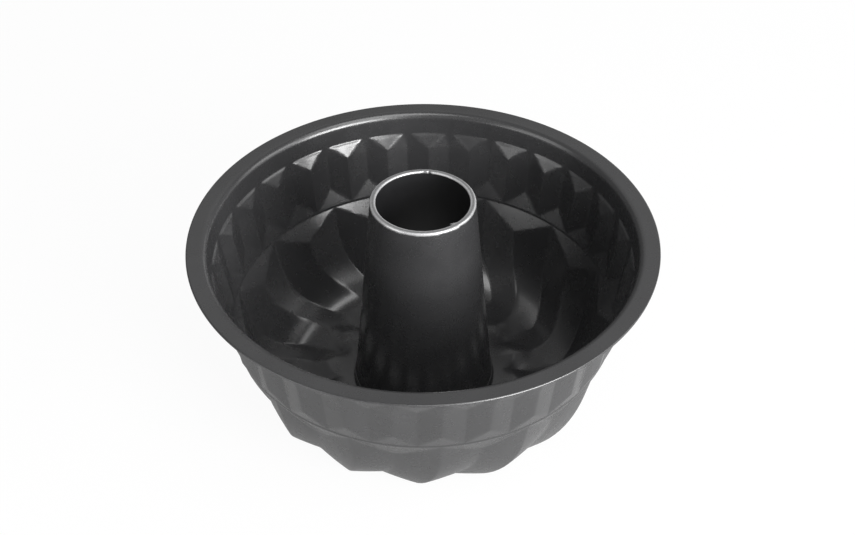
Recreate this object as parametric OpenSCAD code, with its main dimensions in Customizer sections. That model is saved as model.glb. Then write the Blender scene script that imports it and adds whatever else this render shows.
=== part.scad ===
// Fluted tube pan: a deep-drawn sheet mould with a rolled centre tube crimped into its floor.
// The table plane is z = 0 and the tube's axis is the z axis. The back of the pan faces +Y.

/* [Rim] */
// Diameter over the hemmed edge
rim_d = 230; // [200:1:260]
// Width of the flat part of the flange
flange_w = 6.5; // [4.5:0.1:12]
// Radius of the bend from flange to lip, on its upper side
bend_r = 2.6; // [1.4:0.1:4]
// How far the edge is folded back under the flange
hem_w = 4.6; // [2.5:0.1:6]
// Gap inside the fold
hem_gap = 0.12; // [0.05:0.01:0.3]

/* [Sheet] */
// Thickness of the coated steel sheet
sheet = 0.6; // [0.5:0.05:0.8]

/* [Lip] */
// Height of the smooth band between the rim's top and the flutes
lip_h = 11.8; // [8:0.1:18]
// Lean of the smooth band from the vertical
lip_draft = 15; // [8:0.5:20]

/* [Upper flutes] */
// Height from the start of the flutes to the step
upper_h = 33.4; // [26:0.1:42]
// Lean of the upper flutes from the vertical
upper_draft = 10; // [6:0.5:14]
// Radial depth from hollow to ridge
upper_depth = 1.75; // [1:0.05:3]
// Height of the facet that starts each ridge
start_h = 7.3; // [4:0.1:11]
// Height of the facet that closes each hollow at the step
finish_h = 9.6; // [5:0.1:12]

/* [Step] */
// Height of the plain line between the upper and the lower flutes
step_h = 1; // [0.6:0.1:2]

/* [Lower flutes] */
// Number of long flutes; the upper band has twice as many
flute_n = 14; // [12:1:16]
// Height of the large facet that starts each long ridge
facet_h = 11.2; // [8:0.1:15]
// Lean of the long hollows beside the facets
hollow_draft = 13; // [9:0.5:17]
// Depth from hollow to ridge at the foot of the facet
lower_depth = 2.7; // [1.5:0.05:4]
// How far the long flutes' arrises are eased, as a share of their depth
arris_ease = 0.06; // [0:0.01:0.1]
// Turn of the flutes between the step and the floor, clockwise seen from above
twist = 13.6; // [0:0.1:20]
// Part of the bowl in which the flutes turn
twist_part = 0.75; // [0.6:0.05:1]
// Fullness of the hollow's curve below the facets
hollow_wall_full = 1.34; // [1.1:0.02:1.5]
// Fullness of the hollow's curve beside the floor ring
hollow_floor_full = 0.46; // [0.36:0.02:0.56]
// Fullness of the ridge's curve below the facets
ridge_wall_full = 1; // [0.84:0.02:1.16]
// Fullness of the ridge's curve beside the floor ring
ridge_floor_full = 0.44; // [0.34:0.02:0.54]
// Slope at which the hollow comes up to the floor ring
hollow_rise = 10.7; // [4:0.1:15]
// Slope at which the ridge comes up to the floor ring
ridge_rise = 17.6; // [8:0.1:22]

/* [Floor ring] */
// Depth from the rim's top to the flat ring round the tube
pan_depth = 91.7; // [82:0.1:104]
// Radius at which the hollows run out into the ring
hollow_end_r = 44.85; // [43:0.05:48]
// How much further out the ridges end, which makes the ring's star outline
star_w = 4.3; // [2:0.1:7]
// Depth by which the lobes are flattened where the pan stands
foot_flat = 0.5; // [0.3:0.05:0.8]

/* [Centre tube] */
// Radius of the tube's outside where it leaves the floor ring
tube_foot_r = 35.6; // [32:0.1:36.5]
// Lean of the tube's wall from the vertical
tube_taper = 5.1; // [4:0.1:6]
// Height of the tube's top above the rim
tube_rise = 22.3; // [15:0.1:35]
// Width of the tube's top edge, which is turned inward and folded back under itself
brim_w = 2.8; // [2.6:0.1:3.6]
// Outer radius of the bend from the tube's wall to its top edge
brim_bend = 0.9; // [0.8:0.05:1]
// How far the top edge is folded back
brim_fold = 1; // [0.6:0.1:1.2]
// Width of the lap where the tube's sheet overlaps inside
lap_w = 5; // [3:0.5:8]
// Direction of the lap, clockwise from the back seen from above
lap_at = 144.6; // [0:0.1:360]
// Width of the crimped foot under the floor ring
foot_w = 3; // [2:0.1:4]

/* [Collar] */
// Height of the collar that the floor ring turns up round the tube
collar_h = 5.2; // [3:0.1:9]
// Radius of the bend from ring to collar, on its upper side
collar_bend = 0.5; // [0.4:0.1:1.6]
// Clearance between the tube and the collar
tube_fit = 0.05; // [0.03:0.01:0.1]

/* [Hidden] */

// Round surfaces
$fn = 180;
// Columns round the pan for each long flute, and stations down its bowl
flute_cols = 8;
bowl_steps = 12;
cols = flute_n * flute_cols;
// Strips that run into a bend reach this far past its start, so that they are one piece with it
join = 0.05;
// The fluted sheet is held inside the smooth sheet by this much where the two are one piece
tongue_in = 0.06;
tongue_h = 1.2;
// Radius at which the fluted sheet runs into the plain floor ring
ring_join_r = hollow_end_r - 0.85;
tongue_end_r = ring_join_r - 1.2;

// Rim, measured from the rim's top at height 0
rim_r = rim_d / 2;
bend_c = [rim_r - flange_w, -bend_r];
lip_top = bend_c + bend_r * [-cos(lip_draft), sin(lip_draft)];
flute_r = lip_top.x - (lip_top.y + lip_h) * tan(lip_draft);
hem_t = 2 * sheet + hem_gap;

// Step and the start of the bowl
step_r = flute_r - upper_h * tan(upper_draft) - upper_depth;
step_z = -lip_h - upper_h;
facet_z = step_z - step_h - facet_h;
facet_hollow_r = step_r - facet_h * tan(hollow_draft);
facet_ridge_r = facet_hollow_r - lower_depth;

// Ends of the bowl's hollow and ridge curves, and the points that they aim at
ring_z = -pan_depth;
hollow_a = [facet_hollow_r, facet_z];
hollow_b = [hollow_end_r, ring_z];
hollow_fall = hollow_wall_full * (facet_z - ring_z);
hollow_run = hollow_floor_full * (facet_hollow_r - hollow_end_r);
hollow_a_to = hollow_a - hollow_fall * [sin(hollow_draft), cos(hollow_draft)];
hollow_b_to = hollow_b + hollow_run * [cos(hollow_rise), -sin(hollow_rise)];
ridge_a = [facet_ridge_r, facet_z];
ridge_b = [hollow_end_r + star_w, ring_z];
ridge_fall = ridge_wall_full * (facet_z - ring_z);
ridge_run = ridge_floor_full * (ridge_a.x - ridge_b.x);
ridge_a_to = ridge_a - ridge_fall * [sin(hollow_draft), cos(hollow_draft)];
ridge_b_to = ridge_b + ridge_run * [cos(ridge_rise), -sin(ridge_rise)];

// Bends and lines that the tube and the collar share
crimp_r = collar_bend + sheet;
wall_n = [-cos(tube_taper), -sin(tube_taper)];
wall_up = [-sin(tube_taper), cos(tube_taper)];
crimp_c = [tube_foot_r + (crimp_r + tube_fit) / cos(tube_taper), ring_z + collar_bend];
tube_foot = crimp_c + (crimp_r + tube_fit) * wall_n;
tube_len = (tube_rise - brim_bend - tube_foot.y) / cos(tube_taper) + brim_bend * tan(tube_taper);

// A point at parameter t of the curve from a to b that leaves a towards a_to and reaches b from b_to
function bowl_curve(a, a_to, b_to, b, t) =
    let (s = 1 - t)
    s * s * s * a + 3 * s * s * t * a_to + 3 * s * t * t * b_to + t * t * t * b;

function hollow_at(t) = bowl_curve(hollow_a, hollow_a_to, hollow_b_to, hollow_b, t);

function ridge_at(t) = bowl_curve(ridge_a, ridge_a_to, ridge_b_to, ridge_b, t);

// How far column i lies from hollow (0) to ridge (1), for flutes that repeat every n columns
function ridge_share(i, n) = 1 - abs(2 * (i % n) / n - 1);

// The same share with the arrises eased
function eased(share) = share - arris_ease * sin(360 * share);

// Inner face of the sheet at station st for share u of an upper flute and share w of a long flute
function face_at(st, u, w) =
    st[0] == "upper" ? upper_at(st[1], u) :
    st[0] == "facet" ? facet_at(st[1], w) :
    st[0] == "bowl" ? (1 - w) * hollow_at(st[1]) + w * ridge_at(st[1]) :
    st[0] == "lip" ? [flute_r + st[1] * tan(lip_draft), st[1] - lip_h] :
    [st[1], ring_z];

// The ridges of the upper band grow out of facets, and its hollows close in facets
function upper_at(down, u) =
    let (
        starts = min(down / start_h, u),
        closes = (down - upper_h + finish_h) / finish_h
    )
    [flute_r - down * tan(upper_draft) - upper_depth * max(starts, closes), -lip_h - down];

// The long ridges grow out of large facets that hang from the step
function facet_at(down, w) =
    [step_r - down * tan(hollow_draft) - lower_depth * min(down / facet_h, w), step_z - step_h - down];

stations = [
    ["lip", tongue_h],
    ["lip", 0],
    for (k = [1:2]) ["upper", start_h * k / 2],
    for (k = [0:2]) ["upper", upper_h - finish_h + finish_h * k / 2],
    for (k = [0:4]) ["facet", facet_h * eased(k / 4)],
    for (k = [1:bowl_steps]) ["bowl", k / bowl_steps],
    ["ring", tongue_end_r]
];
last = len(stations) - 1;
step_station = 7;

// Outward direction of the sheet at station k, taken between its neighbours halfway up the flutes
function sheet_n(k) =
    let (
        along = face_at(stations[min(k + 1, last)], 0.5, 0.5) - face_at(stations[max(k - 1, 0)], 0.5, 0.5),
        n = [-along.y, along.x]
    )
    stations[k][0] == "ring" ? [0, -1] : k == last - 1 ? [0, -1] : n / norm(n);

// The ends that run inside the smooth sheet are a little thinner than it
function inset(k) = k < 2 || k == last ? tongue_in : 0;

// Height of the rim above the table: the hollows' lowest line is flattened by foot_flat
lift = -min([for (k = [step_station:last]) (face_at(stations[k], 0, 0) + sheet * sheet_n(k)).y]) - foot_flat;

function turn_at(st) =
    st[0] == "ring" ? twist :
    st[0] == "bowl" ? twist * (1 - cos(180 * min(1, st[1] / twist_part))) / 2 : 0;

// A point of the sheet in space, on its inner face (side 0) or its outer face (side 1)
function sheet_point(i, k, side) =
    let (
        u = ridge_share(i, flute_cols / 2),
        w = eased(ridge_share(i, flute_cols)),
        out = side == 0 ? inset(k) : sheet - inset(k),
        p = face_at(stations[k], u, w) + out * sheet_n(k),
        a = 360 * i / cols + turn_at(stations[k])
    )
    [p.x * sin(a), p.x * cos(a), max(p.y + lift, side == 0 ? sheet : 0)];

// Two triangles of a quad, split from its corner a to c or from b to d
function split_quad(a, b, c, d, from_a) = from_a ? [[a, b, c], [a, c, d]] : [[a, b, d], [b, c, d]];

function point_no(i, k, side) = ((i % cols) * 2 + side) * (last + 1) + k;

// A quad between columns i and i + 1, split from the hollow's upper corner to the ridge's lower one
function wall_quad(i, k, side) =
    let (
        n = k < step_station ? flute_cols / 2 : flute_cols,
        from_hollow = i % n < n / 2,
        a = point_no(i, k, side),
        b = point_no(i + 1, k, side),
        c = point_no(i + 1, k + 1, side),
        d = point_no(i, k + 1, side)
    )
    side == 0 ? split_quad(a, b, c, d, from_hollow) : split_quad(d, c, b, a, !from_hollow);

// A quad of the narrow end face that joins the two faces of the sheet at station k
function end_quad(i, k) =
    let (
        a = point_no(i, k, 1),
        b = point_no(i + 1, k, 1),
        c = point_no(i + 1, k, 0),
        d = point_no(i, k, 0)
    )
    k == 0 ? split_quad(a, b, c, d, true) : split_quad(d, c, b, a, true);

module fluted_wall() {
    points = [for (i = [0:cols - 1]) for (side = [0, 1]) for (k = [0:last]) sheet_point(i, k, side)];
    walls = [for (i = [0:cols - 1]) for (side = [0, 1]) for (k = [0:last - 1]) each wall_quad(i, k, side)];
    ends = [for (i = [0:cols - 1]) for (k = [0, last]) each end_quad(i, k)];
    polyhedron(points = points, faces = concat(walls, ends), convexity = 12);
}

// A bent strip of sheet between radius r and r + t about c, from angle a1 to a2
module bend(c, r, t, a1, a2) {
    reach = 4 * (r + t);
    mid = (a1 + a2) / 2;
    translate(c)
        intersection() {
            difference() {
                circle(r + t);
                circle(r);
            }
            polygon([
                [0, 0],
                reach * [cos(a1), sin(a1)],
                reach * [cos((a1 + mid) / 2), sin((a1 + mid) / 2)],
                reach * [cos(mid), sin(mid)],
                reach * [cos((a2 + mid) / 2), sin((a2 + mid) / 2)],
                reach * [cos(a2), sin(a2)]
            ]);
        }
}

// Flange, hem, bend and smooth lip
module rim_section() {
    edge_x = rim_r - hem_t / 2;
    translate([bend_c.x - join, -sheet])
        square([edge_x - bend_c.x + 2 * join, sheet]);
    translate([edge_x - hem_w, -hem_t])
        square([hem_w + join, sheet]);
    bend([edge_x, -hem_t / 2], hem_gap / 2, sheet, -90, 90);
    bend(bend_c, bend_r - sheet, sheet, 90, 180 - lip_draft);
    lip_n = [cos(lip_draft), -sin(lip_draft)];
    lip_start = lip_top + join * [sin(lip_draft), cos(lip_draft)];
    polygon([
        lip_start,
        [flute_r, -lip_h],
        [flute_r + sheet / cos(lip_draft), -lip_h],
        lip_start + sheet * lip_n
    ]);
}

// Flat ring, its bend and the collar that stands round the tube
module ring_section() {
    translate([crimp_c.x - join, ring_z - sheet])
        square([ring_join_r - crimp_c.x + join, sheet]);
    bend(crimp_c, collar_bend, sheet, 180 + tube_taper, 270);
    foot = crimp_c + crimp_r * wall_n - join * wall_up;
    top = crimp_c + crimp_r * wall_n + (collar_h - collar_bend) / cos(tube_taper) * wall_up;
    polygon([foot, top, top - sheet * wall_n, foot - sheet * wall_n]);
}

module mould_shell() {
    color("#3b3c3e") {
        fluted_wall();
        translate([0, 0, lift])
            rotate_extrude() {
                rim_section();
            }
        translate([0, 0, lift])
            rotate_extrude() {
                ring_section();
            }
    }
}

// A strip of the tube's wall between two depths in from its outer face and two distances up from its foot
module wall_strip(face, back, low, high) {
    polygon([
        tube_foot + face * wall_n + low * wall_up,
        tube_foot + face * wall_n + high * wall_up,
        tube_foot + back * wall_n + high * wall_up,
        tube_foot + back * wall_n + low * wall_up
    ]);
}

// Wall, folded top edge and crimped foot
module tube_section() {
    brim_c = tube_foot + brim_bend * wall_n + tube_len * wall_up;
    fold_x = brim_c.x + brim_bend - brim_w + hem_t / 2;
    wall_strip(0, sheet, -join, tube_len + join);
    bend(brim_c, brim_bend - sheet, sheet, tube_taper, 90);
    translate([fold_x - join, tube_rise - sheet])
        square([brim_c.x - fold_x + 2 * join, sheet]);
    bend([fold_x, tube_rise - hem_t / 2], hem_gap / 2, sheet, 90, 270);
    translate([fold_x - join, tube_rise - hem_t])
        square([brim_fold + join, sheet]);
    bend(crimp_c, crimp_r + tube_fit, sheet, 180 + tube_taper, 270);
    translate([crimp_c.x - join, crimp_c.y - crimp_r - tube_fit - sheet])
        square([foot_w + join, sheet]);
}

module centre_tube() {
    lap_turn = 2 * asin(lap_w / 2 / tube_foot_r);
    color("#313234")
        translate([0, 0, lift]) {
            rotate_extrude() {
                tube_section();
            }
            rotate([0, 0, 90 - lap_at - lap_turn / 2])
                rotate_extrude(angle = lap_turn) {
                    wall_strip(sheet / 2, 2 * sheet, 1, tube_len - 2);
                }
        }
}

mould_shell();
centre_tube();
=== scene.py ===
from math import atan2, cos, degrees, hypot, pi, radians, sin, tan

import bpy
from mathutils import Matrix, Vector


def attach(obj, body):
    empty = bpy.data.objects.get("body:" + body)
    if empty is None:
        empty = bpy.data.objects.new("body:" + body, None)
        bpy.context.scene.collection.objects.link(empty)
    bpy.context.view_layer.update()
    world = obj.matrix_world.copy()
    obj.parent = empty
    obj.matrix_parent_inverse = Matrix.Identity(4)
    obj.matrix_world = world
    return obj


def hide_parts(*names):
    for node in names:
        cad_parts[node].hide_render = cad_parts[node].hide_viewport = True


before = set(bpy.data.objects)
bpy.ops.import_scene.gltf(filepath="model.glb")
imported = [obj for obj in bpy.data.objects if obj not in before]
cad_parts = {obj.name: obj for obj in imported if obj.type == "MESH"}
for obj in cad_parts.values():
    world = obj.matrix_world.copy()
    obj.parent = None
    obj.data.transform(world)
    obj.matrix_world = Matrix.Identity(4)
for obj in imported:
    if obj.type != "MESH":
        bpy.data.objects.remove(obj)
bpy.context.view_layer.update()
bpy.ops.object.select_all(action="DESELECT")

# Pressed shell: one disc of steel sheet, coated on both sides and deep-drawn into fluted walls. Its edge
# is folded back under the flange as a hem. Its middle is turned up into a collar round the centre tube.
# Sizes are in millimetres, and the heights of the shell's points are counted from the rim's top.
MM = 0.001
SHEET = 0.6
RIM_TOP = 94.686
RIM_R = 115.0
HEM_W = 4.6
HEM_ROUND = 0.66
FLANGE_IN_R = 108.2
RIM_BEND_R = 3.6
LIP_H = 11.8
LIP_LEAN = radians(8.4)

UPPER_H = 33.4
UPPER_LEAN = radians(8.95)
UPPER_DEPTH = 2.4
START_H = 7.4
FINISH_H = 9.6
SHOULDER = 0.1
START_GAP = 0.2

STEP_H = 1.0
FLUTES = 14
FACET_H = 11.2
HOLLOW_LEAN = radians(13)
LOWER_DEPTH = 3.5
TWIST = radians(13.6)
TWIST_PART = 0.75
RING_DEPTH = 91.7
HOLLOW_END_R = 44.85
HOLLOW_WALL_FULL, HOLLOW_FLOOR_FULL = 1.34, 0.46
HOLLOW_RISE = radians(10.7)
HOLLOW_DIP, HOLLOW_DIP_W = 1.1, 18.0
RIDGE_END_R = 49.15
RIDGE_WALL_FULL, RIDGE_FLOOR_FULL = 1.04, 0.46
RIDGE_RISE = radians(4)
RIDGE_LIFT, RIDGE_LIFT_W = 1.2, 12.0

# How far the arrises are rounded, as shares of half a flute's width, and how full the long ridges are
ARRIS_EASE = 0.04
HOLLOW_EASE = 0.02
RIDGE_EASE = 0.08
RIDGE_ROUND = 0.15

COLLAR_BEND_R = 0.5
COLLAR_TOP = 5.2
COLLAR_ROWS = [1.4, 2.8, COLLAR_TOP - 1.1]
TUBE_LEAN = radians(5.1)
CRIMP_X, CRIMP_Z = 36.755, -91.2
RING_MIDDLE_R = 41.0

# Rows this far beside a cut edge and a bend keep the flat between them flat
BESIDE_EDGE = 0.3
BESIDE_BEND = 0.5

# Columns across a quarter of a long flute, and rows of the start facets, closer together beside the arrises
QUARTER = [0, 0.045, 0.14, 0.32, 0.5, 0.68, 0.86, 0.955]
START_ROWS = [0, 0.03, 0.2, 0.412, 0.624, 0.835, 0.947]
LIP_ROWS = [7.4, 4.9, 2.4, 0.8]
UPPER_ROWS = 3
STEP_ROWS = [0.35, 0.7]
BOWL_ROWS = [k / 24 for k in range(19)] + [0.79 + 0.21 * k / 10 for k in range(11)]

lip_top_r = FLANGE_IN_R - RIM_BEND_R * cos(LIP_LEAN)
lip_top_z = -RIM_BEND_R + RIM_BEND_R * sin(LIP_LEAN)
flute_r = lip_top_r - (lip_top_z + LIP_H) * tan(LIP_LEAN)
step_r = flute_r - UPPER_H * tan(UPPER_LEAN) - UPPER_DEPTH
step_z = -LIP_H - UPPER_H
facet_z = step_z - STEP_H - FACET_H
facet_hollow_r = step_r - FACET_H * tan(HOLLOW_LEAN)
facet_ridge_r = facet_hollow_r - LOWER_DEPTH


def eased_share(share, hollow_ease, ridge_ease):
    """The share from hollow (0) to ridge (1), with the arris at either end rounded over its ease."""
    if share < hollow_ease:
        return (share ** 2 + hollow_ease ** 2) / (2 * hollow_ease)
    if share > 1 - ridge_ease:
        return 1 - ((1 - share) ** 2 + ridge_ease ** 2) / (2 * ridge_ease)
    return share


def bowl_curve(top_r, end_r, wall_full, floor_full, rise, t):
    """Radius and height of a hollow or a ridge, from under its facet (0) to the ring floor (1)."""
    fall, run = wall_full * (facet_z + RING_DEPTH), floor_full * (top_r - end_r)
    points = [
        (top_r, facet_z),
        (top_r - fall * sin(HOLLOW_LEAN), facet_z - fall * cos(HOLLOW_LEAN)),
        (end_r + run * cos(rise), -RING_DEPTH - run * sin(rise)),
        (end_r, -RING_DEPTH),
    ]
    weights = ((1 - t) ** 3, 3 * (1 - t) ** 2 * t, 3 * (1 - t) * t ** 2, t ** 3)
    return [sum(w * p[axis] for w, p in zip(weights, points)) for axis in (0, 1)]


def beside_ring(share):
    """A swell next to the ring floor: 0 at its edge, 1 a third of the way out, 0 again."""
    return 27 / 4 * share * (1 - share) ** 2 if 0 < share < 1 else 0


def arc_rows(cx, cz, r, start, end, steps):
    """Rows of a bend that is the same all round, between two angles in degrees."""
    angles = [radians(start + (end - start) * k / steps) for k in range(steps + 1)]
    return [("round", cx + r * cos(a), cz + r * sin(a)) for a in angles]


def shell_rows():
    """Rows of the sheet's food side, from the end of the hem to the top of the collar."""
    edge_x = RIM_R - HEM_ROUND
    hem_end, hem_z = edge_x - HEM_W, -2 * HEM_ROUND
    rows = [("round", r, hem_z) for r in (hem_end, hem_end + BESIDE_EDGE, edge_x - BESIDE_BEND)]
    rows += arc_rows(edge_x, -HEM_ROUND, HEM_ROUND, -90, 90, 8)
    flange = (edge_x - BESIDE_BEND, (edge_x + FLANGE_IN_R) / 2, FLANGE_IN_R + BESIDE_BEND)
    rows += [("round", r, 0) for r in flange]
    rows += arc_rows(FLANGE_IN_R, -RIM_BEND_R, RIM_BEND_R, 90, 180 - degrees(LIP_LEAN), 10)
    rows += [("lip", up) for up in LIP_ROWS]
    rows += [("upper", START_H * s) for s in START_ROWS]
    middle = UPPER_H - START_H - FINISH_H
    rows += [("upper", START_H + middle * k / UPPER_ROWS) for k in range(UPPER_ROWS)]
    rows += [("upper", UPPER_H - FINISH_H + FINISH_H * q) for q in QUARTER + [1]]
    rows += [("step", down) for down in STEP_ROWS]
    rows += [("facet", FACET_H * (half + q) / 2) for half in (0, 1) for q in QUARTER]
    rows += [("bowl", t) for t in BOWL_ROWS]
    rows += [("ring", RING_MIDDLE_R), ("ring", CRIMP_X + BESIDE_EDGE)]
    rows += arc_rows(CRIMP_X, CRIMP_Z, COLLAR_BEND_R, 270, 180 + degrees(TUBE_LEAN), 6)
    wall_x = CRIMP_X - COLLAR_BEND_R * cos(TUBE_LEAN)
    wall_z = CRIMP_Z - COLLAR_BEND_R * sin(TUBE_LEAN)
    return rows + [("round", wall_x - up * tan(TUBE_LEAN), wall_z + up) for up in COLLAR_ROWS]


def upper_point(down, u):
    """A point of the upper band at a height below its start, u from hollow (0) to ridge (1)."""
    share = down / START_H
    gap = START_GAP * max(0, 1 - share)
    shoulder = SHOULDER + (1 - SHOULDER) * share if down else 0
    starts = min(shoulder, max(0, (u - gap) / (1 - gap)))
    closes = (down - UPPER_H + FINISH_H) / FINISH_H
    return flute_r - down * tan(UPPER_LEAN) - UPPER_DEPTH * max(starts, closes), -LIP_H - down


def bowl_point(t, w):
    """A point of the long flutes under their facets, w from hollow (0) to ridge (1)."""
    hollow_r, hollow_z = bowl_curve(
        facet_hollow_r, HOLLOW_END_R, HOLLOW_WALL_FULL, HOLLOW_FLOOR_FULL, HOLLOW_RISE, t
    )
    ridge_r, ridge_z = bowl_curve(
        facet_ridge_r, RIDGE_END_R, RIDGE_WALL_FULL, RIDGE_FLOOR_FULL, RIDGE_RISE, t
    )
    hollow_z -= HOLLOW_DIP * beside_ring((hollow_r - HOLLOW_END_R) / HOLLOW_DIP_W)
    ridge_z += RIDGE_LIFT * beside_ring((ridge_r - RIDGE_END_R) / RIDGE_LIFT_W)
    return (1 - w) * hollow_r + w * ridge_r, (1 - w) * hollow_z + w * ridge_z


def shell_point(row, share_u, share_w):
    """Radius, height and turn of a row at a share of an upper flute and a share of a long flute."""
    kind, at = row[0], row[1]
    w = eased_share(share_w, HOLLOW_EASE, RIDGE_EASE)
    w *= 1 + RIDGE_ROUND * (1 - w)
    if kind == "round":
        return at, row[2], TWIST if row[2] < CRIMP_Z / 2 else 0
    if kind == "lip":
        return flute_r + at * tan(LIP_LEAN), at - LIP_H, 0
    if kind == "upper":
        return *upper_point(at, eased_share(share_u, ARRIS_EASE, ARRIS_EASE)), 0
    if kind == "step":
        return step_r, step_z - at, 0
    if kind == "facet":
        depth = LOWER_DEPTH * min(at / FACET_H, w)
        return step_r - at * tan(HOLLOW_LEAN) - depth, step_z - STEP_H - at, 0
    if kind == "bowl":
        return *bowl_point(at, w), TWIST * (1 - cos(pi * min(1, at / TWIST_PART))) / 2
    return at, -RING_DEPTH, TWIST


def shell_line(row):
    """Points once round a row of the food side, in millimetres above the table."""
    line = []
    for flute in range(FLUTES):
        for quarter in range(4):
            for q in QUARTER:
                share_u = q if quarter % 2 == 0 else 1 - q
                along = (quarter + q) / 4
                r, z, turn = shell_point(row, share_u, 1 - abs(2 * along - 1))
                a = 2 * pi * (flute + along) / FLUTES + turn
                line.append(Vector((r * sin(a), r * cos(a), z + RIM_TOP)))
    return line


def cell_faces(kind, k, i, columns, offset, flip):
    """The faces of one cell of the grid. Fluted cells are split along the flutes' slanting arrises."""
    j = (i + 1) % columns
    a, b = offset + k * columns + i, offset + k * columns + j
    c, d = b + columns, a + columns
    if kind in ("upper", "facet", "bowl", "step"):
        flute_columns = len(QUARTER) * (2 if kind == "upper" else 4)
        rising = i % flute_columns < flute_columns / 2
        faces = [(a, b, c), (a, c, d)] if rising else [(a, b, d), (b, c, d)]
    else:
        faces = [(a, b, c, d)]
    return faces if flip else [tuple(reversed(f)) for f in faces]


def side_faces(rows, columns, offset, flip):
    return [
        face
        for k in range(len(rows) - 1)
        for i in range(columns)
        for face in cell_faces(rows[k][0], k, i, columns, offset, flip)
    ]


def edge_faces(k, count, columns, flip):
    """The ring of faces that closes the sheet's cut edge, at the hem's or the collar's end."""
    faces = []
    for i in range(columns):
        j = (i + 1) % columns
        near, far = k * columns, (count + k) * columns
        ring = (near + i, near + j, far + j, far + i)
        faces.append(tuple(reversed(ring)) if flip else ring)
    return faces


def make_shell():
    """The food side's grid, and behind it the outer side, a sheet's thickness away along the normals."""
    rows = shell_rows()
    lines = [shell_line(row) for row in rows]
    columns, count = len(lines[0]), len(lines)
    food = [p for line in lines for p in line]
    faces = side_faces(rows, columns, 0, False)
    draft = bpy.data.meshes.new("food_side")
    draft.from_pydata([p * MM for p in food], [], faces)
    outer = [p - v.normal * SHEET for p, v in zip(food, draft.vertices)]
    bpy.data.meshes.remove(draft)
    food = [Vector((p.x, p.y, max(p.z, SHEET))) for p in food]
    outer = [Vector((p.x, p.y, max(p.z, 0.0))) for p in outer]
    faces += side_faces(rows, columns, count * columns, True)
    faces += edge_faces(0, count, columns, False) + edge_faces(count - 1, count, columns, True)
    mesh = bpy.data.meshes.new("pressed_shell")
    mesh.from_pydata([p * MM for p in food + outer], [], faces)
    mesh.validate()
    mesh.update()
    piece = bpy.data.objects.new("pressed_shell", mesh)
    bpy.context.scene.collection.objects.link(piece)
    return piece


def noise(tree, scale, detail):
    """Noise over the piece's own coordinates."""
    node = tree.nodes.new("ShaderNodeTexNoise")
    node.inputs["Scale"].default_value = scale
    node.inputs["Detail"].default_value = detail
    tree.links.new(tree.nodes["Texture Coordinate"].outputs["Object"], node.inputs["Vector"])
    return node.outputs["Fac"]


def spread(tree, value, from_low, from_high, to_low, to_high):
    """A value between two limits, stretched to two others."""
    node = tree.nodes.new("ShaderNodeMapRange")
    node.inputs["From Min"].default_value = from_low
    node.inputs["From Max"].default_value = from_high
    node.inputs["To Min"].default_value = to_low
    node.inputs["To Max"].default_value = to_high
    tree.links.new(value, node.inputs["Value"])
    return node.outputs["Result"]


def bump(tree, height, strength, distance):
    node = tree.nodes.new("ShaderNodeBump")
    node.inputs["Strength"].default_value = strength
    node.inputs["Distance"].default_value = distance
    tree.links.new(height, node.inputs["Height"])
    return node


def coating(name, colour, rough):
    """Satin non-stick coating, sprayed and baked: nearly black, with a fine pebbled skin."""
    material = bpy.data.materials.new(name)
    material.use_nodes = True
    tree = material.node_tree
    shader = tree.nodes["Principled BSDF"]
    shader.inputs["IOR"].default_value = 1.8
    tree.nodes.new("ShaderNodeTexCoord")
    tint = tree.nodes.new("ShaderNodeMix")
    tint.data_type = "RGBA"
    tint.inputs["A"].default_value = (*[c * 0.92 for c in colour], 1)
    tint.inputs["B"].default_value = (*[c * 1.09 for c in colour], 1)
    clouds, patches = noise(tree, scale=45, detail=3), noise(tree, scale=160, detail=4)
    tree.links.new(spread(tree, clouds, 0.3, 0.7, 0, 1), tint.inputs["Factor"])
    tree.links.new(tint.outputs["Result"], shader.inputs["Base Color"])
    tree.links.new(spread(tree, patches, 0.3, 0.7, rough - 0.02, rough + 0.03), shader.inputs["Roughness"])
    pebbles = bump(tree, noise(tree, scale=750, detail=2), strength=0.24, distance=0.000006)
    waves = bump(tree, noise(tree, scale=150, detail=1), strength=0.16, distance=0.000005)
    tree.links.new(pebbles.outputs["Normal"], waves.inputs["Normal"])
    tree.links.new(waves.outputs["Normal"], shader.inputs["Normal"])
    return material


shell = make_shell()
for polygon in shell.data.polygons:
    polygon.use_smooth = True
shell.data.materials.append(coating("shell_coating", (0.027, 0.027, 0.028), 0.26))
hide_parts("mould_shell")
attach(shell, "root")

# Centre tube: a strip of the same coated sheet, rolled to a cone and lapped down one side. Its top edge,
# the brim, is turned inward and folded back under. Its foot is crimped under the shell's collar.
TUBE_SHEET = 0.6
TUBE_TOP = RIM_TOP + 22.3
TUBE_COLUMNS = 240
BRIM_BEND_R = 0.9
BRIM_W = 2.8
FOLD_R = 0.66
FOLD_LAP = 1.0
FOOT_W = 3.0
CRIMP_R = 1.15

SEAM_AT = radians(143.2)
SEAM_STEP = 0.34
SEAM_FADE = radians(16)
SEAM_FROM_Z = 4.0
SEAM_COLUMNS_W = radians(6 * 360 / TUBE_COLUMNS)
SEAM_DRAW = 1.7
SEAM_BRIM_Z = TUBE_TOP - 2.2
SEAM_BRIM_R = 24.9
LAP_FROM_Z = TUBE_TOP - 4
LAP_RISE_H = 2.6
LAP_PROUD = 0.22
LAP_FADE = 1.4 * SEAM_FADE

# The nick and the short fold are in the brim's inner part, which is also slightly uneven all round
BRIM_FROM_Z = TUBE_TOP - 1.6
BRIM_RISE_H = 0.8
INNER_FROM_R = 24.6
INNER_W = 1.6
NICK_AT = radians(12.4)
NICK_DEPTH, NICK_W = 1.1, radians(3.2)
NICK_SINK, NICK_SINK_W = 0.35, radians(3)
SHORT_FOLD_AT = radians(6.5)
SHORT_FOLD_BY, SHORT_FOLD_W = 0.9, radians(6)
UNEVEN_IN = 0.05
UNEVEN_DOWN = 0.04

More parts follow.
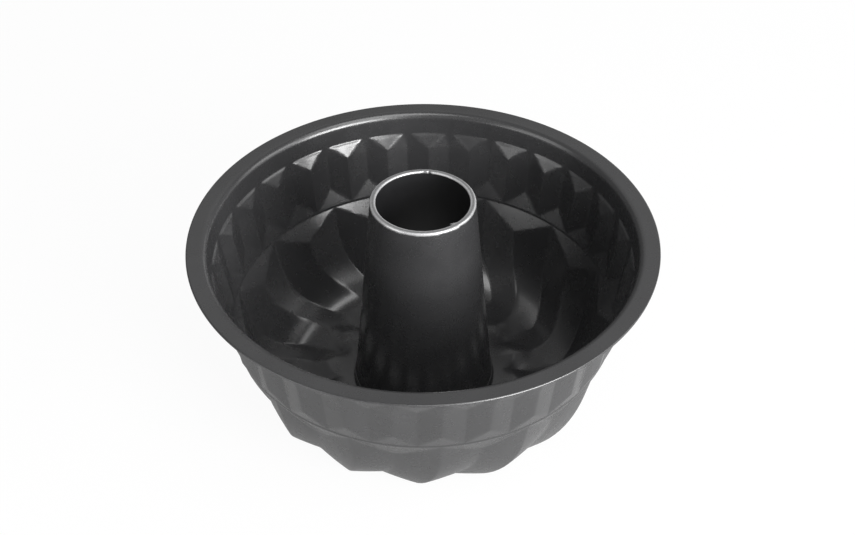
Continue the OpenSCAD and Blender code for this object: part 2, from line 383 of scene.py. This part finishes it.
BRIM_MIDDLE_R = 24.15
# Light steel grey painted on the brim as its highlight
HIGHLIGHT_STEEL = (0.58, 0.58, 0.585, 1)


def tube_profile():
    """The tube's outer face from the end of its foot to the end of its fold, as (radius, height)."""
    crimp_z = CRIMP_Z + RIM_TOP
    foot_x = CRIMP_X - CRIMP_R * cos(TUBE_LEAN)
    foot_z = crimp_z - CRIMP_R * sin(TUBE_LEAN)
    bend_z = TUBE_TOP - BRIM_BEND_R
    rise = bend_z + BRIM_BEND_R * sin(TUBE_LEAN) - foot_z
    bend_x = foot_x - rise * tan(TUBE_LEAN) - BRIM_BEND_R * cos(TUBE_LEAN)
    fold_x = bend_x + BRIM_BEND_R - BRIM_W + FOLD_R
    rows = arc_rows(CRIMP_X, crimp_z, CRIMP_R, 270, 180 + degrees(TUBE_LEAN), 8)
    line = [(CRIMP_X + out, crimp_z - CRIMP_R) for out in (FOOT_W, FOOT_W / 2)]
    line += [(r, z) for _, r, z in rows]
    line += [(foot_x - rise * k / 12 * tan(TUBE_LEAN), foot_z + rise * k / 12) for k in range(1, 12)]
    line += [(r, z) for _, r, z in arc_rows(bend_x, bend_z, BRIM_BEND_R, degrees(TUBE_LEAN), 90, 8)]
    line += [((bend_x + fold_x) / 2, TUBE_TOP)]
    line += [(r, z) for _, r, z in arc_rows(fold_x, TUBE_TOP - FOLD_R, FOLD_R, 90, 270, 12)]
    return line + [(fold_x + FOLD_LAP, TUBE_TOP - 2 * FOLD_R)]


def spin_tube():
    line = tube_profile()
    mesh = bpy.data.meshes.new("centre_tube_wall")
    mesh.from_pydata([(0, r * MM, z * MM) for r, z in line], [(k, k + 1) for k in range(len(line) - 1)], [])
    piece = bpy.data.objects.new("rolled_tube", mesh)
    bpy.context.scene.collection.objects.link(piece)
    bpy.ops.object.select_all(action="DESELECT")
    bpy.context.view_layer.objects.active = piece
    piece.select_set(True)
    bpy.ops.object.mode_set(mode="EDIT")
    bpy.ops.mesh.select_all(action="SELECT")
    bpy.ops.mesh.spin(steps=TUBE_COLUMNS, angle=2 * pi, center=(0, 0, 0), axis=(0, 0, 1))
    bpy.ops.mesh.select_all(action="SELECT")
    bpy.ops.mesh.remove_doubles(threshold=0.02 * MM)
    bpy.ops.mesh.normals_make_consistent(inside=False)
    bpy.ops.object.mode_set(mode="OBJECT")
    return piece


def turn_from(turn, centre):
    """The angle from a centre direction, from minus to plus half a turn."""
    return (turn - centre + pi) % (2 * pi) - pi


def near(turn, centre, width):
    """1 at the centre direction, falling smoothly to 0 at width to either side."""
    return (1 + cos(pi * min(1, abs(turn_from(turn, centre)) / width))) / 2


def drawn_to_seam(turn):
    """The turn with the columns beside the seam drawn close to it, so that its step is sharp."""
    off = turn_from(turn, SEAM_AT)
    if abs(off) >= SEAM_COLUMNS_W:
        return turn, off
    off = (abs(off) / SEAM_COLUMNS_W) ** SEAM_DRAW * SEAM_COLUMNS_W * (1 if off > 0 else -1)
    return SEAM_AT + off, off


def lap_seam(r, z, off):
    """The radius with the lapped seam's step down the wall and over the brim's outer bend."""
    if z <= SEAM_FROM_Z or (z >= SEAM_BRIM_Z and r <= SEAM_BRIM_R):
        return r
    if -SEAM_FADE < off <= 0:
        r -= SEAM_STEP * (1 + off / SEAM_FADE) ** 2
    if 0 < off < LAP_FADE and z > LAP_FROM_Z:
        r += LAP_PROUD * (1 - off / LAP_FADE) ** 2 * min(1, (z - LAP_FROM_Z) / LAP_RISE_H)
    return r


def work_tube(piece):
    """The seam's step, and the nick, short fold and slight unevenness left where the edge was turned."""
    for vertex in piece.data.vertices:
        x, y, z = (c / MM for c in vertex.co)
        turn, off = drawn_to_seam(atan2(x, y))
        r = lap_seam(hypot(x, y), z, off)
        brim = max(0, min(1, (z - BRIM_FROM_Z) / BRIM_RISE_H))
        inner = max(0, min(1, (INNER_FROM_R - r) / INNER_W)) * brim
        r += inner * NICK_DEPTH * near(turn, NICK_AT, NICK_W)
        r += inner * SHORT_FOLD_BY * near(turn, SHORT_FOLD_AT, SHORT_FOLD_W)
        r += inner * UNEVEN_IN * sin(3 * turn + 0.6)
        z -= inner * NICK_SINK * near(turn, NICK_AT, NICK_SINK_W)
        z += brim * UNEVEN_DOWN * (sin(5 * turn + 1) - 1)
        vertex.co = (r * sin(turn) * MM, r * cos(turn) * MM, z * MM)


def reckon(tree, operation, *values):
    """A Math node on numbers or other nodes' outputs."""
    node = tree.nodes.new("ShaderNodeMath")
    node.operation = operation
    for socket, value in zip(node.inputs, values):
        if isinstance(value, (int, float)):
            socket.default_value = value
        else:
            tree.links.new(value, socket)
    return node.outputs[0]


def paint_brim_highlights(material):
    """Painted highlight on the brim: a light, partly metallic steel colour over the brim, strongest along
    its outer bend and its fold, where the highlights fall.
    """
    tree = material.node_tree
    shader = tree.nodes["Principled BSDF"]
    place = tree.nodes.new("ShaderNodeSeparateXYZ")
    tree.links.new(tree.nodes["Texture Coordinate"].outputs["Object"], place.inputs[0])
    ragged = noise(tree, scale=260, detail=3)
    ragged_z = reckon(tree, "MULTIPLY_ADD", ragged, 1.2 * MM, place.outputs["Z"])
    on_brim = spread(tree, ragged_z, (TUBE_TOP - 0.9) * MM, (TUBE_TOP + 0.3) * MM, 0, 1)
    flat = tree.nodes.new("ShaderNodeCombineXYZ")
    tree.links.new(place.outputs["X"], flat.inputs["X"])
    tree.links.new(place.outputs["Y"], flat.inputs["Y"])
    from_axis = tree.nodes.new("ShaderNodeVectorMath")
    from_axis.operation = "LENGTH"
    tree.links.new(flat.outputs[0], from_axis.inputs[0])
    off_middle = reckon(tree, "SUBTRACT", from_axis.outputs["Value"], BRIM_MIDDLE_R * MM)
    at_edges = spread(tree, reckon(tree, "ABSOLUTE", off_middle), 0.35 * MM, 1.1 * MM, 0.22, 1)
    # The painted highlight's share: some over the whole brim, and full along its outer bend and its fold
    highlight_share = reckon(tree, "MULTIPLY", on_brim, at_edges)
    highlight_tint = tree.nodes.new("ShaderNodeMix")
    highlight_tint.data_type = "RGBA"
    highlight_tint.inputs["B"].default_value = HIGHLIGHT_STEEL
    tree.links.new(highlight_share, highlight_tint.inputs["Factor"])
    tree.links.new(shader.inputs["Base Color"].links[0].from_socket, highlight_tint.inputs["A"])
    tree.links.new(highlight_tint.outputs["Result"], shader.inputs["Base Color"])
    tree.links.new(reckon(tree, "MULTIPLY", highlight_share, 0.55), shader.inputs["Metallic"])


tube = spin_tube()
work_tube(tube)
thicken = tube.modifiers.new("sheet", "SOLIDIFY")
thicken.thickness = TUBE_SHEET * MM
thicken.offset = -1
thicken.use_even_offset = True
bpy.ops.object.modifier_apply(modifier=thicken.name)
for vertex in tube.data.vertices:
    vertex.co.z = min(vertex.co.z, TUBE_TOP * MM)
for polygon in tube.data.polygons:
    polygon.use_smooth = True
bpy.ops.object.shade_smooth_by_angle(angle=radians(50))

tube_coating = coating("tube_coating", (0.028, 0.028, 0.029), 0.27)
# The brim's highlights are painted into the tube coating's colour
paint_brim_highlights(tube_coating)
tube.data.materials.append(tube_coating)
# The bore's inside faces below the brim get a darker colour: painted shade inside the tube
tube.data.materials.append(coating("bore_painted_shade", (0.014, 0.014, 0.015), 0.36))
for polygon in tube.data.polygons:
    middle, normal = polygon.center, polygon.normal
    faces_in = normal.x * middle.x + normal.y * middle.y < -0.5 * hypot(middle.x, middle.y)
    if faces_in and middle.z < BRIM_FROM_Z * MM:
        polygon.material_index = 1
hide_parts("centre_tube")
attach(tube, "root")

# White table and backdrop. They read as white paper to the camera, and partly so in the gloss of the
# coating, and the pan's shadow stays on the table. Neither is part of the object.
bpy.ops.mesh.primitive_plane_add(size=6, location=(0, 0, 0))
table = bpy.context.object
table.name = "studio_table"
paper = bpy.data.materials.new("studio_paper")
paper.use_nodes = True
tree = paper.node_tree
matt = tree.nodes["Principled BSDF"]
matt.inputs["Base Color"].default_value = (0.42, 0.42, 0.42, 1)
matt.inputs["Roughness"].default_value = 0.9
glow = tree.nodes.new("ShaderNodeEmission")
glow.inputs["Strength"].default_value = 1.05
ray = tree.nodes.new("ShaderNodeLightPath")
in_gloss = reckon(tree, "MULTIPLY", ray.outputs["Is Glossy Ray"], 0.25)
glow_share = reckon(tree, "MULTIPLY_ADD", ray.outputs["Is Camera Ray"], 0.9, in_gloss)
mix = tree.nodes.new("ShaderNodeMixShader")
tree.links.new(glow_share, mix.inputs["Fac"])
tree.links.new(matt.outputs["BSDF"], mix.inputs[1])
tree.links.new(glow.outputs["Emission"], mix.inputs[2])
tree.links.new(mix.outputs["Shader"], tree.nodes["Material Output"].inputs["Surface"])
table.data.materials.append(paper)

world = bpy.data.worlds.new("studio")
bpy.context.scene.world = world
world.use_nodes = True
tree = world.node_tree
backdrop = tree.nodes["Background"]
backdrop.inputs["Color"].default_value = (1, 1, 1, 1)
ray = tree.nodes.new("ShaderNodeLightPath")
brightness = reckon(tree, "MULTIPLY_ADD", ray.outputs["Is Camera Ray"], 0.8, 0.2)
tree.links.new(brightness, backdrop.inputs["Strength"])

# Softboxes, all turned to the middle of the pan. The window from the front right is the main light, and
# the others fill in from the sides, from above and from behind.
LIGHT_AWAY = 1.5
LIGHT_AIM = Vector((0, 0, 0.06))


def softbox(name, bearing, height, half_angles, radiance):
    """A softbox at a bearing (0 is the camera's side, 90 the right) and a height, both in degrees."""
    light = bpy.data.lights.new(name, "AREA")
    light.shape = "RECTANGLE"
    light.size, light.size_y = [2 * LIGHT_AWAY * tan(radians(half)) for half in half_angles]
    light.energy = radiance * pi * light.size * light.size_y
    box = bpy.data.objects.new(name, light)
    bpy.context.scene.collection.objects.link(box)
    a, e = radians(bearing), radians(height)
    box.location = Vector((sin(a) * cos(e), -cos(a) * cos(e), sin(e))) * LIGHT_AWAY + LIGHT_AIM
    box.rotation_euler = (LIGHT_AIM - box.location).to_track_quat("-Z", "Y").to_euler()


softbox("window", 38, 20, (17, 12), 15)
softbox("low_right", 32, 8, (26, 5), 12)
softbox("low_left", -25, 6, (30, 5), 2)
softbox("overhead", 35, 72, (20, 13), 3.2)
softbox("front_high", 28, 44, (12, 11), 3.8)
softbox("back_wall", 180, 44, (26, 12), 0.3)
softbox("cove_left", -62, 15, (18, 10), 1.8)
softbox("side_right", 84, 13, (22, 8), 1.0)
softbox("right_high", 80, 36, (18, 12), 2.6)
softbox("left_high", -72, 36, (14, 12), 1.4)
softbox("back_right", 150, 18, (12, 6), 1.0)

# Camera, where the photographer's stood: it looks down at the pan at about 40 degrees.
lens = bpy.data.cameras.new("camera")
lens.sensor_width = 36
lens.lens = 64.07
lens.clip_start, lens.clip_end = 0.01, 20
camera = bpy.data.objects.new("camera", lens)
bpy.context.scene.collection.objects.link(camera)
camera.location = (-0.0465, -0.57296, 0.56227)
camera.rotation_euler = (radians(49.717), radians(0.130), radians(-4.960))
bpy.context.scene.camera = camera
bpy.context.scene.view_settings.view_transform = "Standard"
